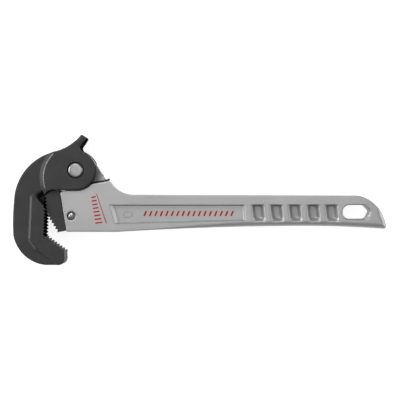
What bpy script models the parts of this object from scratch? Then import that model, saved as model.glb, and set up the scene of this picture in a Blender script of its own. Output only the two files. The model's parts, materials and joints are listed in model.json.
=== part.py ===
"""Self-adjusting pipe wrench, lying on its side.

X runs along the handle, towards the hang slot.  Y runs from the heel side up to the thumb tab.
Z is the thickness.  Outlines are written in millimetres and scaled to metres when a mesh is made.
"""

import math

import bmesh
import bpy

MM = 0.001

# Thicknesses, measured each way from the middle plane
HEAD_HALF = 12.5
GRIP_HALF = 10.5
CHEEK_OUTER = 15.5
FORK_HALF = 9.2
HOOK_BODY_HALF = 11.2
TOOTH_PAD_HALF = 12.7
CHEEK_RAMP = 4.6
PAD_RAMP = 2.4
EAR_HALF = 5.0
BOSS_HALF = 8.9
HEEL_BLOCK_HALF = 11.0
HEEL_TANG_HALF = 6.2
RECESS_DEPTH = 3.4
POCKET_DEPTH = 5.2

# The hook's pivot
PIVOT = (-124.1, 29.7)
CHEEK_RADIUS = 19.3
EAR_RADIUS = 19.3
CROTCH_RADIUS = 20.3
BOSS_RADIUS = 13.2
SHANK_RADIUS = 6.35
PIN_HEAD_RADIUS = 7.3
PIN_HEAD_HEIGHT = 3.0
BUSHING_RADIUS = 8.0

# The heel jaw's pin
HEEL_PIN = (-128.6, -16.0)
HEEL_PIN_RADIUS = 4.25

# The spring
WIRE_RADIUS = 0.85
COIL_RADIUS = 14.5
COIL_LOW = 6.05
COIL_HIGH = 8.1
LEG_SLOPE = 8.8
SPRING_END_ANGLE = 101.0

GAP = 0.3
FLOOR = CHEEK_OUTER

TOOTH_PITCH = 3.4
TOOTH_DEPTH = 1.8


# ---------------------------------------------------------------- outlines

def polar(centre, radius, degrees):
    """Point on a circle."""
    angle = math.radians(degrees)
    return (centre[0] + radius * math.cos(angle), centre[1] + radius * math.sin(angle))


def circle_centre(a, b, c):
    """Centre of the circle through three points."""
    ax, ay = b[0] - a[0], b[1] - a[1]
    bx, by = c[0] - a[0], c[1] - a[1]
    cross = 2.0 * (ax * by - ay * bx)
    a2, b2 = ax * ax + ay * ay, bx * bx + by * by
    return (a[0] + (by * a2 - ay * b2) / cross, a[1] + (ax * b2 - bx * a2) / cross)


def arc(start, via, end, sagitta=0.12):
    """Points after start, up to end, on the circle through the three points."""
    centre = circle_centre(start, via, end)
    radius = math.dist(centre, start)
    first = math.atan2(start[1] - centre[1], start[0] - centre[0])
    middle = math.atan2(via[1] - centre[1], via[0] - centre[0])
    last = math.atan2(end[1] - centre[1], end[0] - centre[0])
    turn = (last - first) % math.tau
    if (middle - first) % math.tau > turn:
        turn -= math.tau
    step = 2.0 * math.acos(max(0.5, 1.0 - sagitta / radius))
    count = max(2, math.ceil(abs(turn) / step))
    angles = [first + turn * i / count for i in range(1, count)]
    points = [(centre[0] + radius * math.cos(t), centre[1] + radius * math.sin(t)) for t in angles]
    return points + [end]


def trace(start, *moves):
    """Outline from a start point; a move is a point to go straight to, or a (via, end) pair for an arc."""
    points = [start]
    for move in moves:
        if isinstance(move[0], tuple):
            points += arc(points[-1], move[0], move[1])
        else:
            points.append(move)
    return points


def teeth(start, end, depth):
    """Saw teeth from start to end, cut to the left of the way of travel."""
    run = (end[0] - start[0], end[1] - start[1])
    length = math.hypot(*run)
    count = round(length / TOOTH_PITCH)
    along = (run[0] / length, run[1] / length)
    left = (-along[1], along[0])
    points = []
    for i in range(count):
        root = length * (i + 0.38) / count
        tip = length * (i + 1) / count
        points.append((start[0] + along[0] * root + left[0] * depth, start[1] + along[1] * root + left[1] * depth))
        points.append((start[0] + along[0] * tip, start[1] + along[1] * tip))
    return points


def ring(centre, radius, sides):
    """Regular outline whose sides touch the circle from outside."""
    reach = radius / math.cos(math.pi / sides)
    return [polar(centre, reach, 360.0 * (i + 0.5) / sides) for i in range(sides)]


# ---------------------------------------------------------------- meshes

def new_object(name, bm, material=None):
    """Wrap a bmesh, given in millimetres, as an object standing on the floor plane."""
    bmesh.ops.recalc_face_normals(bm, faces=bm.faces)
    for vert in bm.verts:
        vert.co.z += FLOOR
        vert.co *= MM
    mesh = bpy.data.meshes.new(name)
    bm.to_mesh(mesh)
    bm.free()
    obj = bpy.data.objects.new(name, mesh)
    bpy.context.scene.collection.objects.link(obj)
    if material is not None:
        mesh.materials.append(material)
    return obj


def prism_mesh(outline, low, high):
    """Straight-sided solid on an outline."""
    bm = bmesh.new()
    base = bm.faces.new([bm.verts.new((x, y, low)) for x, y in outline])
    raised = bmesh.ops.extrude_face_region(bm, geom=[base])["geom"]
    for vert in (item for item in raised if isinstance(item, bmesh.types.BMVert)):
        vert.co.z = high
    return bm


def prism(name, outline, low, high, material=None):
    """Straight-sided solid on an outline, as an object."""
    return new_object(name, prism_mesh(outline, low, high), material)


def drafted(name, outline, inner, low, high):
    """Solid that narrows from an outline at high to an inner outline at low."""
    bm = bmesh.new()
    top = [bm.verts.new((x, y, high)) for x, y in outline]
    bottom = [bm.verts.new((x, y, low)) for x, y in inner]
    bm.faces.new(top)
    bm.faces.new(bottom[::-1])
    count = len(top)
    for i in range(count):
        bm.faces.new((top[i], bottom[i], bottom[(i + 1) % count], top[(i + 1) % count]))
    return new_object(name, bm)


def as_tool(obj):
    """Mark an object as a cutter or a blank that isn't a part itself."""
    obj.hide_render = True
    obj.display_type = "WIRE"
    return obj


def combine(target, tool, operation):
    """Boolean a tool with a target."""
    modifier = target.modifiers.new(tool.name, "BOOLEAN")
    modifier.operation = operation
    modifier.object = as_tool(tool)


def bevel_rim(bm, width, segments, keep):
    """Round the edges of both faces, where keep says so."""
    rim = []
    for edge in bm.edges:
        a, b = edge.verts
        flat = abs(a.co.z - b.co.z) < 1e-4
        faces = edge.link_faces
        turned = len(faces) == 2 and abs(faces[0].normal.dot(faces[1].normal)) < 0.5
        if flat and turned and keep((a.co + b.co) / 2.0):
            rim.append(edge)
    bmesh.ops.bevel(bm, geom=rim, offset=width, segments=segments, profile=0.5, affect="EDGES", clamp_overlap=True)


def material(name, colour, roughness, metallic):
    """Principled material."""
    mat = bpy.data.materials.new(name)
    mat.use_nodes = True
    shader = mat.node_tree.nodes["Principled BSDF"]
    shader.inputs["Base Color"].default_value = (*colour, 1.0)
    shader.inputs["Roughness"].default_value = roughness
    shader.inputs["Metallic"].default_value = metallic
    return mat


# ---------------------------------------------------------------- the handle

def handle_outline():
    """Grip, tail, shoulder and the slanted front edge that the heel jaw backs on to."""
    return trace(
        (-133.2, -31.8), (-83.0, -32.0),
        ((0.0, -28.0), (90.0, -26.1)),
        ((140.0, -26.6), (184.0, -28.9)),
        ((186.7, -28.1), (187.2, -25.6)),
        ((180.6, -10.0), (164.0, 3.0)),
        ((159.0, 4.3), (152.0, 4.6)),
        (-68.0, 5.5),
        ((-82.0, 9.7), (-90.6, 18.6)),
        (-108.9, 16.0),
        (polar(PIVOT, 20.3, -62.0), polar(PIVOT, 20.3, -82.0)),
        (-137.0, 9.3), (-139.7, 6.8))


def taper_thickness(bm):
    """Thin the plate from the head to the grip."""
    starts, ends = -92.0, -48.0
    for cut in (starts, ends):
        geometry = bm.verts[:] + bm.edges[:] + bm.faces[:]
        bmesh.ops.bisect_plane(bm, geom=geometry, plane_co=(cut, 0, 0), plane_no=(1, 0, 0))
    for vert in bm.verts:
        share = min(1.0, max(0.0, (vert.co.x - starts) / (ends - starts)))
        vert.co.z *= 1.0 - share * (1.0 - GRIP_HALF / HEAD_HALF)


def hang_slot_outline():
    """Through slot with a round front end."""
    low, high = -19.3, -5.8
    middle, radius = (low + high) / 2.0, (high - low) / 2.0
    return trace(
        (149.8, low), (167.0, low),
        ((170.2, -17.8), (171.4, -14.4)),
        (171.4, -9.6),
        ((170.4, -7.0), (167.4, high)),
        (149.8, high),
        ((149.8 - radius, middle), (149.8, low)))


def inset_box(left, right, low_left, low_right, high, lean, wall_x, wall_y):
    """Four-cornered recess outline and its narrower floor outline; lean shifts the lower corners in X."""
    rim = [(left + lean, low_left), (right + lean, low_right), (right, high), (left, high)]
    floor = [
        (left + lean + wall_x, low_left + wall_y), (right + lean - wall_x, low_right + wall_y),
        (right - wall_x, high - wall_y / 2), (left + wall_x, high - wall_y / 2)]
    return rim, floor


def make_handle(mat):
    """Cast handle: plate, ear with its two bosses, recesses, pockets, slots and bores."""
    bm = prism_mesh(handle_outline(), -HEAD_HALF, HEAD_HALF)
    bevel_rim(bm, 1.6, 2, lambda p: True)
    taper_thickness(bm)
    handle = new_object("handle", bm, mat)

    ear = trace(
        polar(PIVOT, EAR_RADIUS, 235.0),
        (polar(PIVOT, EAR_RADIUS, 130.0), polar(PIVOT, EAR_RADIUS, 24.0)),
        (-103.5, 34.2), (-94.9, 20.6), (-94.7, 4.0), (polar(PIVOT, EAR_RADIUS, 235.0)[0], 4.0))
    combine(handle, prism("ear_blank", ear[::-1], -EAR_HALF, EAR_HALF), "UNION")
    combine(handle, prism("boss_blank", ring(PIVOT, BOSS_RADIUS, 36), -BOSS_HALF, BOSS_HALF), "UNION")

    for side, label in ((1, "front"), (-1, "back")):
        face = side * (GRIP_HALF + 4.0)
        rim, floor = inset_box(-89.5, 45.0, -24.4, -20.6, -5.0, 4.0, 3.6, 1.6)
        cutter = drafted("long_recess_" + label, rim, floor, side * (GRIP_HALF - RECESS_DEPTH), face)
        combine(handle, cutter, "DIFFERENCE")
        for i in range(5):
            left = 51.0 + 18.4 * i
            rim, floor = inset_box(left, left + 13.4, -21.6, -21.4, -4.4, 1.6, 2.6, 2.6)
            cutter = drafted(f"pocket_{label}_{i}", rim, floor, side * (GRIP_HALF - POCKET_DEPTH), face)
            combine(handle, cutter, "DIFFERENCE")

    tall = HEAD_HALF + 4.0
    combine(handle, prism("hang_slot", hang_slot_outline(), -tall, tall), "DIFFERENCE")
    combine(handle, prism("bushing_bore", ring(PIVOT, BUSHING_RADIUS + GAP, 36), -tall, tall), "DIFFERENCE")
    heel_bore = prism("heel_pin_bore", ring(HEEL_PIN, HEEL_PIN_RADIUS + GAP, 24), -tall, tall)
    combine(handle, heel_bore, "DIFFERENCE")
    tang = [(x, y) for x, y in tang_outline(GAP, -160.0)]
    tang_slot = prism("tang_slot", tang, -HEEL_TANG_HALF - GAP, HEEL_TANG_HALF + GAP)
    combine(handle, tang_slot, "DIFFERENCE")
    return handle


# ---------------------------------------------------------------- the heel jaw

def tang_outline(extra, front):
    """Tongue of the heel jaw inside the head, made larger by extra for its slot."""
    low, high, back = -25.0 - extra, 3.4 + extra, -114.0 + extra
    return trace((front, low), (back - 3.0, low), (back, low + 3.0), (back, high - 3.0), (back - 3.0, high), (front, high))


def heel_outline():
    """Tooth block in front of the handle's slanted edge."""
    knee = (-154.4, -14.0)
    toe = (-143.0, -32.4)
    back_low, back_high = (-133.6, -30.6), (-140.1, 6.8)
    points = trace(back_low, back_high, (-140.3, 9.3), (-145.6, 9.0), ((-151.2, 7.2), (-155.0, 3.0)))
    points += teeth(points[-1], knee, TOOTH_DEPTH)
    points += teeth(knee, toe, TOOTH_DEPTH)
    return points


def make_heel_jaw(mat):
    """Heel jaw: wide tooth block with a narrower tongue for the head's slot."""
    jaw = prism("heel_jaw", heel_outline(), -HEEL_BLOCK_HALF, HEEL_BLOCK_HALF, mat)
    tang = prism("tang_blank", tang_outline(0.0, -140.5), -HEEL_TANG_HALF, HEEL_TANG_HALF)
    combine(jaw, tang, "UNION")
    bore = prism("jaw_bore", ring(HEEL_PIN, HEEL_PIN_RADIUS + GAP, 24), -HEAD_HALF - 4.0, HEAD_HALF + 4.0)
    combine(jaw, bore, "DIFFERENCE")
    return jaw


def make_heel_jaw_pin(mat):
    """Plain pin with chamfered ends, through the head and the tongue."""
    end = HEAD_HALF - 0.2
    profile = [(0.0, end), (HEEL_PIN_RADIUS - 0.8, end), (HEEL_PIN_RADIUS, end - 0.8)]
    profile += [(r, -z) for r, z in reversed(profile)]
    return turned("heel_jaw_pin", HEEL_PIN, profile, 24, mat)


# ---------------------------------------------------------------- the hook jaw

def hook_outline():
    """Thumb tab, bowed back, tip, teeth, neck and the round end about the pivot."""
    ramp_top = (-157.3, -37.2)
    points = trace(
        (-113.9, 61.4), (-118.4, 65.3),
        ((-130.6, 54.4), (-146.0, 48.4)),
        ((-173.0, 32.4), (-186.3, 0.0)),
        ((-187.4, -18.0), (-187.2, -35.0)),
        ((-177.6, -53.9), (-155.0, -65.2)),
        (-141.5, -65.2),
        ((-137.4, -63.6), (-135.4, -58.4)),
        (-135.8, -52.8))
    points += [(x, y) for x, y in teeth(points[-1], ramp_top, -TOOTH_DEPTH)]
    points += teeth(ramp_top, (-156.2, -7.4), -TOOTH_DEPTH)
    points += trace(
        (-157.9, -4.0), (-157.6, 1.5),
        ((-155.2, 7.6), (-149.4, 10.6)),
        polar(PIVOT, CHEEK_RADIUS, -94.0),
        (polar(PIVOT, CHEEK_RADIUS, -10.0), polar(PIVOT, CHEEK_RADIUS, 58.0)),
        ((-118.6, 50.2), (-119.7, 53.4)))
    return points


def step_line():
    """Bowed line where the cheeks end and the thinner body begins, from the back down to the neck."""
    return trace((-146.2, 70.0), (-146.2, 45.6), ((-155.6, 26.0), (-154.0, 11.4)), (-151.0, 6.5))


def make_hook_jaw(mat):
    """Hook jaw: forged body, raised tooth pad, two cheeks with the fork between them, and a thumb tab."""
    bm = prism_mesh(hook_outline(), -CHEEK_OUTER, CHEEK_OUTER)
    bevel_rim(bm, 1.2, 1, lambda p: p.x < -161.0 or p.y > 12.0 or p.y < -58.0)
    hook = new_object("hook_jaw", bm, mat)

    cheek_edge = step_line()
    pad_edge = [(-155.2, -8.0), (-164.3, 3.4), (-167.9, 3.4), (-169.6, -38.9), (-164.4, -47.3), (-146.6, -60.8)]
    away = [(-140.0, -72.0), (-210.0, -90.0), (-210.0, 70.0)]
    rim = cheek_edge + pad_edge + away
    foot = [(x - CHEEK_RAMP, y) for x, y in cheek_edge] + [(x - PAD_RAMP, y) for x, y in pad_edge] + away
    pad_box = [(-180.0, 4.5), (-180.0, -90.0), (-100.0, -90.0), (-100.0, 4.5)]
    for side, label in ((1, "front"), (-1, "back")):
        above = side * (CHEEK_OUTER + 1.0)
        shave = drafted("shave_" + label, rim, foot, side * HOOK_BODY_HALF, above)
        combine(hook, shave, "DIFFERENCE")
        combine(hook, prism("pad_" + label, pad_box, side * TOOTH_PAD_HALF, above), "DIFFERENCE")

    fork = trace(
        polar(PIVOT, CROTCH_RADIUS, 235.0),
        (polar(PIVOT, CROTCH_RADIUS, 150.0), polar(PIVOT, CROTCH_RADIUS, 62.0)),
        (-90.0, 48.0), (-90.0, 0.0), (polar(PIVOT, CROTCH_RADIUS, 235.0)[0], 0.0))
    combine(hook, prism("fork_gap", fork[::-1], -FORK_HALF, FORK_HALF), "DIFFERENCE")
    inner = [polar(PIVOT, 18.0, SPRING_END_ANGLE - 4.5), polar(PIVOT, 18.0, SPRING_END_ANGLE + 4.5)]
    outer = [polar(PIVOT, 24.5, SPRING_END_ANGLE + 3.3), polar(PIVOT, 24.5, SPRING_END_ANGLE - 3.3)]
    for side, label in ((1, "front"), (-1, "back")):
        low, high = sorted((side * (COIL_HIGH - 1.4), side * (FORK_HALF + 0.25)))
        combine(hook, prism("spring_pocket_" + label, (inner + outer)[::-1], low, high), "DIFFERENCE")
    tall = CHEEK_OUTER + 4.0
    combine(hook, prism("pivot_bore", ring(PIVOT, SHANK_RADIUS + GAP, 32), -tall, tall), "DIFFERENCE")
    head_well = prism("head_well", ring(PIVOT, PIN_HEAD_RADIUS + 0.7, 32), CHEEK_OUTER - PIN_HEAD_HEIGHT - GAP, tall)
    combine(hook, head_well, "DIFFERENCE")
    ring_well = prism("ring_well", ring(PIVOT, PIN_HEAD_RADIUS + 1.7, 32), -tall, -CHEEK_OUTER + PIN_HEAD_HEIGHT)
    combine(hook, ring_well, "DIFFERENCE")
    return hook


# ---------------------------------------------------------------- turned pieces

def turned(name, centre, profile, sides, mat):
    """Closed solid turned about a Z axis; the profile runs down the outside from the top centre."""
    bm = bmesh.new()
    rows = []
    for radius, z in profile:
        if radius == 0.0:
            rows.append([bm.verts.new((centre[0], centre[1], z))])
        else:
            spots = [polar(centre, radius, 360.0 * (i + 0.5) / sides) for i in range(sides)]
            rows.append([bm.verts.new((x, y, z)) for x, y in spots])
    for upper, lower in zip(rows, rows[1:]):
        for i in range(sides):
            j = (i + 1) % sides
            corners = [upper[i % len(upper)], lower[i % len(lower)], lower[j % len(lower)], upper[j % len(upper)]]
            bm.faces.new(list(dict.fromkeys(corners)))
    return new_object(name, bm, mat)


def tube(name, inner, outer, low, high, sides, mat):
    """Ring or sleeve about the pivot."""
    bm = bmesh.new()
    rows = []
    for radius, z in ((outer, high), (outer, low), (inner, low), (inner, high)):
        spots = [polar(PIVOT, radius, 360.0 * (i + 0.5) / sides) for i in range(sides)]
        rows.append([bm.verts.new((x, y, z)) for x, y in spots])
    for k in range(4):
        upper, lower = rows[k], rows[(k + 1) % 4]
        for i in range(sides):
            j = (i + 1) % sides
            bm.faces.new((upper[i], lower[i], lower[j], upper[j]))
    return new_object(name, bm, mat)


def make_pivot_pin(mat):
    """Headed pin with a groove for its retaining ring."""
    top = CHEEK_OUTER + 0.25
    under_head = CHEEK_OUTER - PIN_HEAD_HEIGHT
    groove_top, groove_low, end = -CHEEK_OUTER + 2.6, -CHEEK_OUTER + 1.4, -CHEEK_OUTER + 0.3
    profile = [
        (0.0, top), (PIN_HEAD_RADIUS - 0.9, top), (PIN_HEAD_RADIUS, top - 0.9), (PIN_HEAD_RADIUS, under_head),
        (SHANK_RADIUS, under_head), (SHANK_RADIUS, groove_top), (SHANK_RADIUS - 0.8, groove_top),
        (SHANK_RADIUS - 0.8, groove_low), (SHANK_RADIUS, groove_low), (SHANK_RADIUS, end + 0.4),
        (SHANK_RADIUS - 0.5, end), (0.0, end)]
    return turned("pivot_pin", PIVOT, profile, 32, mat)


def make_retaining_ring(mat):
    """Open snap ring in the pin's groove, inside the back cheek's well."""
    low, high = -CHEEK_OUTER + 1.6, -CHEEK_OUTER + 2.4
    inner, outer, open_half = SHANK_RADIUS - 0.8 + GAP, SHANK_RADIUS + 1.7, 24.0
    steps = 20
    angles = [-90.0 + open_half + (360.0 - 2.0 * open_half) * i / steps for i in range(steps + 1)]
    outline = [polar(PIVOT, outer, a) for a in angles] + [polar(PIVOT, inner, a) for a in reversed(angles)]
    return prism("retaining_ring", outline, low, high, mat)


# ---------------------------------------------------------------- the spring

def coil_points(side):
    """Coil of one half, from its hook end to where the leg leaves it."""
    start, stop = 120.0, -90.0 + LEG_SLOPE + 360.0 * 2.0
    steps = 44
    points = []
    for i in range(steps + 1):
        share = i / steps
        z = COIL_HIGH + (COIL_LOW - COIL_HIGH) * share
        points.append((*polar(PIVOT, COIL_RADIUS, start + (stop - start) * share), z * side))
    return points


def leg_points(side):
    """Leg on the shoulder's ledge, then the turn into the bridge behind the ear."""
    slope = math.tan(math.radians(LEG_SLOPE))
    root = polar(PIVOT, COIL_RADIUS, -90.0 + LEG_SLOPE)
    points = []
    for x in (-116.0, -106.0, -97.0, -93.6):
        points.append((x, root[1] + (x - root[0]) * slope, COIL_LOW * side))
    points.append((-91.9, points[-1][1] + 1.0, (COIL_LOW - 0.9) * side))
    points.append((-91.5, points[-1][1] + 0.4, (COIL_LOW - 2.2) * side))
    return points


def make_spring(mat):
    """Double torsion spring: two coils joined by a bridge behind the ear, each with an end in the hook."""
    half = []
    for radius, turn in ((23.0, 0.0), (20.0, 0.0), (17.0, 3.5), (15.2, 10.5)):
        half.append((*polar(PIVOT, radius, SPRING_END_ANGLE + turn), COIL_HIGH))
    half += coil_points(1)
    half += leg_points(1)
    route = half + [(x, y, -z) for x, y, z in reversed(half)]
    return wire("torsion_spring", route, WIRE_RADIUS, mat)


def wire(name, route, radius, mat):
    """Round wire along a route, as a closed tube."""
    curve = bpy.data.curves.new(name, "CURVE")
    curve.dimensions = "3D"
    curve.bevel_depth = radius * MM
    curve.bevel_resolution = 2
    curve.use_fill_caps = True
    spline = curve.splines.new("POLY")
    spline.points.add(len(route) - 1)
    for point, (x, y, z) in zip(spline.points, route):
        point.co = (x * MM, y * MM, (z + FLOOR) * MM, 1.0)
    curve.materials.append(mat)
    obj = bpy.data.objects.new(name, curve)
    bpy.context.scene.collection.objects.link(obj)
    return obj


# ---------------------------------------------------------------- the wrench

def main():
    for obj in list(bpy.data.objects):
        bpy.data.objects.remove(obj, do_unlink=True)
    casting = material("cast_aluminium", (0.42, 0.42, 0.42), 0.42, 0.7)
    forging = material("black_steel", (0.048, 0.048, 0.05), 0.5, 0.3)
    bright = material("bright_steel", (0.5, 0.5, 0.5), 0.28, 1.0)
    spring = material("spring_steel", (0.03, 0.03, 0.03), 0.45, 0.6)
    bronze = material("bushing_bronze", (0.45, 0.3, 0.14), 0.4, 1.0)
    make_handle(casting)
    make_heel_jaw(forging)
    make_heel_jaw_pin(bright)
    make_hook_jaw(forging)
    make_pivot_pin(bright)
    make_retaining_ring(spring)
    tube("pivot_bushing", SHANK_RADIUS + 0.1, BUSHING_RADIUS, -BOSS_HALF, BOSS_HALF, 32, bronze)
    make_spring(spring)


main()
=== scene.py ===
"""Looks of the self-adjusting pipe wrench: the castings, forgings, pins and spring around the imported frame.

Lengths are in millimetres in the frame's own X and Y; heights are measured from the wrench's middle plane.
"""

import json
import math

import bmesh
import bpy
import numpy as np
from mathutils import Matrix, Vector
from mathutils.geometry import delaunay_2d_cdt


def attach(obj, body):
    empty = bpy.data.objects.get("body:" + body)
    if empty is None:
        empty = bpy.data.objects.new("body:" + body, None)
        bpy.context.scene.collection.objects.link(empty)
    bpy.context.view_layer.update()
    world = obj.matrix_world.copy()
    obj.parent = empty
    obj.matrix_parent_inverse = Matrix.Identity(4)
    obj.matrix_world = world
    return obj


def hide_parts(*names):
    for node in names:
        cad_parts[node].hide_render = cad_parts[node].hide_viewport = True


MM = 0.001

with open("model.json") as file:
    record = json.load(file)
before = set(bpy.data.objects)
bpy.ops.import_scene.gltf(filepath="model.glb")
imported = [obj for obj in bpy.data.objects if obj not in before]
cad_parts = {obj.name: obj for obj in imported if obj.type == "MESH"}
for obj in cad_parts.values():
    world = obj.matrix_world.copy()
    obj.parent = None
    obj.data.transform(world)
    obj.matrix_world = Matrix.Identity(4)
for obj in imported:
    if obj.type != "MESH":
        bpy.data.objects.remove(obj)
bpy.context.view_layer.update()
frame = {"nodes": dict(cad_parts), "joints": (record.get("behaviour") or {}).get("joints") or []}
HINGE = frame["joints"][0]["pos_m"]
PIVOT = np.array(HINGE[:2]) / MM
MIDDLE = HINGE[2] / MM

HEAD_HALF = 12.5
GRIP_HALF = 10.5
CHEEK_HALF = 15.5
FORK_HALF = 9.2
BODY_HALF = 11.2
PAD_HALF = 13.3
EAR_HALF = 5.0
BOSS_HALF = 8.9
HEEL_HALF = 11.0
SHANK_RADIUS = 6.35
PIN_HEAD_RADIUS = 7.15
WIRE_RADIUS = 0.85
COIL_RADIUS = 14.5
COIL_LOW = 6.05
COIL_HIGH = 8.1
LEG_SLOPE = math.radians(8.8)
SPRING_END = math.radians(101.0)
TOOTH_PITCH = 3.4
TOOTH_DEPTH = 2.0
RAMP_FOOT = (-135.8, -52.8)
RAMP_TOP = (-157.3, -37.2)
STEP_RUN = 4.6
PAD_RUN = 2.4
PIN_WELL_RADIUS = 8.4
PIN_WELL_DEPTH = 3.3
HOLLOW_DEPTH = 5.0
FORK_RADIUS = 20.3
EAR_RADIUS = 19.5
PANEL_DEPTH = 3.4
POCKET_DEPTH = 5.2
HEEL_PIN = (-128.6, -16.0)
HEEL_HOLE_RADIUS = 4.45
INK_THICKNESS = 0.05


# ---------------------------------------------------------------- outlines

def polar(centre, radius, degrees):
    """Point on a circle: centre plus radius times the cosine and sine of the angle."""
    angle = np.radians(degrees)
    return np.array([centre[0] + radius * np.cos(angle), centre[1] + radius * np.sin(angle)])


def line(start, end, step):
    """Points after start, up to end, spaced about a step apart on a straight line."""
    start, end = np.asarray(start, float), np.asarray(end, float)
    count = max(1, int(round(np.linalg.norm(end - start) / step)))
    share = np.arange(1, count + 1)[:, None] / count
    return start + (end - start) * share


def circle_through(start, via, end):
    """Centre and radius of the circle through three points, from the bisectors of two chords."""
    a, b, c = (np.asarray(p, float) for p in (start, via, end))
    centre = np.linalg.solve(2.0 * np.array([b - a, c - a]), [b @ b - a @ a, c @ c - a @ a])
    return centre, np.linalg.norm(a - centre)


def arc(start, via, end, step):
    """Points after start, up to end, on the circle through three points."""
    a, b, c = (np.asarray(p, float) for p in (start, via, end))
    centre, radius = circle_through(a, b, c)
    first, middle, last = (math.atan2(*(p - centre)[::-1]) for p in (a, b, c))
    turn = (last - first) % math.tau
    if (middle - first) % math.tau > turn:
        turn -= math.tau
    count = max(3, int(round(abs(turn) * radius / step)))
    angle = first + turn * np.arange(1, count + 1) / count
    return centre + radius * np.stack([np.cos(angle), np.sin(angle)], 1)


def trace(start, *moves, step=0.8):
    """Open outline: a move is a point to go straight to, or a (via, end) pair for an arc."""
    parts = [np.array([start], float)]
    for move in moves:
        last = parts[-1][-1]
        if np.ndim(move) == 2:
            parts.append(arc(last, move[0], move[1], step))
        else:
            parts.append(line(last, move, step))
    return np.concatenate(parts)


def circle(centre, radius, count):
    """Closed ring of points, anticlockwise."""
    return polar(centre, radius, np.arange(count) * 360.0 / count).T


def teeth(start, end, depth):
    """Saw teeth from start to end: the crests lie on the line and the roots lie depth to one side of it."""
    start, end = np.asarray(start, float), np.asarray(end, float)
    length = np.linalg.norm(end - start)
    along = (end - start) / length
    across = np.array([-along[1], along[0]])
    count = int(round(length / TOOTH_PITCH))
    share = np.array([0.12, 0.38, 0.44, 0.72, 0.97, 1.0])
    deep = np.array([0.55, 1.0, 1.0, 0.5, 0.03, 0.0])
    place = (np.arange(count)[:, None] + share).ravel() * length / count
    return start + along * place[:, None] + across * (np.tile(deep, count) * depth)[:, None]


def normals_of(loop):
    """Inward unit normals of a closed anticlockwise loop, each the mean of its two sides' normals, mitred."""
    forward = np.roll(loop, -1, 0) - loop
    forward /= np.linalg.norm(forward, axis=1)[:, None]
    inward = np.stack([-forward[:, 1], forward[:, 0]], 1)
    mean = inward + np.roll(inward, 1, 0)
    length = np.linalg.norm(mean, axis=1)[:, None]
    return mean / np.maximum(length, 0.4) * (2.0 / np.maximum(length, 1.2))


def distance_to(points, loop):
    """Least distance from each point to the sides of a closed loop."""
    best = np.full(len(points), np.inf)
    a, b = loop, np.roll(loop, -1, 0)
    side = b - a
    square = (side ** 2).sum(1)
    for rows in np.array_split(np.arange(len(points)), max(1, len(points) * len(loop) // 4_000_000)):
        p = points[rows][:, None, :]
        t = np.clip(((p - a) * side).sum(2) / square, 0.0, 1.0)
        gap = p - a - t[..., None] * side
        best[rows] = np.sqrt((gap ** 2).sum(2).min(1))
    return best


def inside(points, loop):
    """True where a point lies inside a closed loop, by counting the sides that a ray towards +X crosses."""
    a, b = loop, np.roll(loop, -1, 0)
    crossings = np.zeros(len(points), int)
    for rows in np.array_split(np.arange(len(points)), max(1, len(points) * len(loop) // 4_000_000)):
        x, y = points[rows, 0][:, None], points[rows, 1][:, None]
        spans = (a[:, 1] > y) != (b[:, 1] > y)
        rise = np.where(b[:, 1] == a[:, 1], 1.0, b[:, 1] - a[:, 1])
        at = a[:, 0] + (y - a[:, 1]) * (b[:, 0] - a[:, 0]) / rise
        crossings[rows] = (spans & (x < at)).sum(1)
    return crossings % 2 == 1


# ---------------------------------------------------------------- plates

def spread(low, high, spacing):
    """Staggered grid of points over a box: every other row is shifted by half a space."""
    x = np.arange(low[0], high[0], spacing)
    y = np.arange(low[1], high[1], spacing * 0.87)
    grid_x, grid_y = np.meshgrid(x, y)
    grid_x[1::2] += spacing / 2.0
    return np.stack([grid_x.ravel(), grid_y.ravel()], 1)


def triangulate(rim, holes, loops, scattered):
    """Triangles over the inside of a rim, outside its holes, that keep every loop's sides as edges."""
    rings = [rim] + holes + loops
    points = np.concatenate(rings + [scattered])
    sides, first = [], 0
    for ring in rings:
        index = np.arange(len(ring))
        sides.append(first + np.stack([index, (index + 1) % len(ring)], 1))
        first += len(ring)
    made = delaunay_2d_cdt(points.tolist(), np.concatenate(sides).tolist(), [], 0, 1e-5)
    flat = np.array([tuple(v) for v in made[0]])
    faces = np.array(made[2])
    centre = flat[faces].mean(1)
    keep = inside(centre, rim)
    for hole in holes:
        keep &= ~inside(centre, hole)
    return flat, faces[keep]


def nearest(flat, loop):
    """Index of the flat point that each loop point became."""
    order = np.empty(len(loop), int)
    for rows in np.array_split(np.arange(len(loop)), max(1, len(loop) * len(flat) // 8_000_000)):
        order[rows] = ((loop[rows][:, None, :] - flat) ** 2).sum(2).argmin(1)
    return order


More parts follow.
